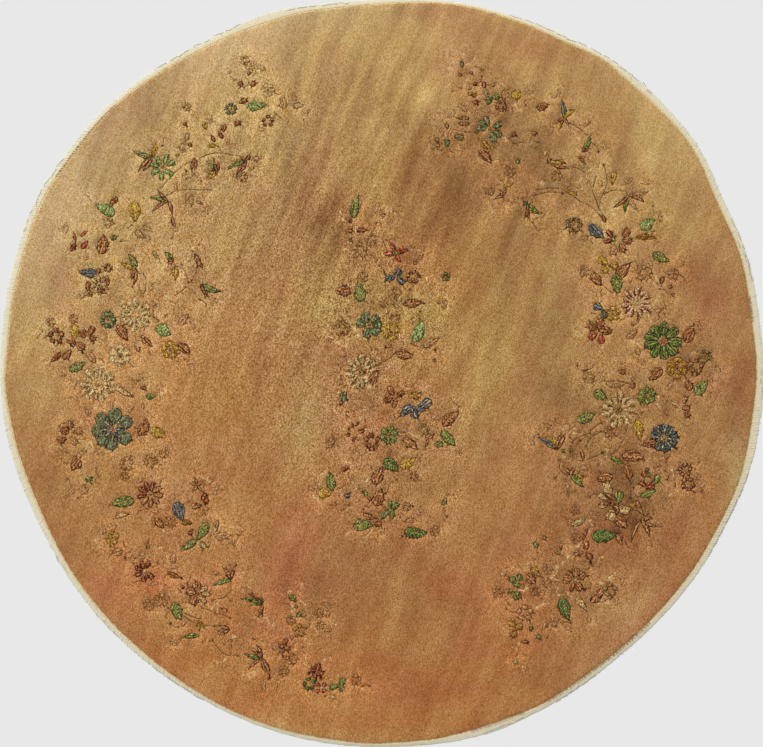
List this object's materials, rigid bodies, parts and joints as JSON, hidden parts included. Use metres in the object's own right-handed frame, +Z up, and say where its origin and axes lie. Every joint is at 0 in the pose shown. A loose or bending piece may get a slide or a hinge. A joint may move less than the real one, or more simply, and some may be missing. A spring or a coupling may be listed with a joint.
{
  "type": "round pile rug",
  "caption": "Large round hand-knotted wool pile rug with flower sprays clipped in relief on an open tan field and a narrow cream cotton edge.",
  "frame": {"origin": "middle of the rug's underside, on the floor", "axes": "+Z up out of the pile, +X along the rug's longest width, +Y towards the side drawn at the top of the picture"},
  "size_m": [3.0044, 2.9434, 0.0129],
  "materials": {
    "pile_field": "cut wool pile, tan ground washed towards rose in places, flowers in green, blue, yellow, brown and wine",
    "rim_binding": "cream cotton web, oversewn and slightly frayed"
  },
  "bodies": {
    "root": {"pile_field": "pile_field", "rim_binding": "rim_binding"}
  },
  "joints": []
}
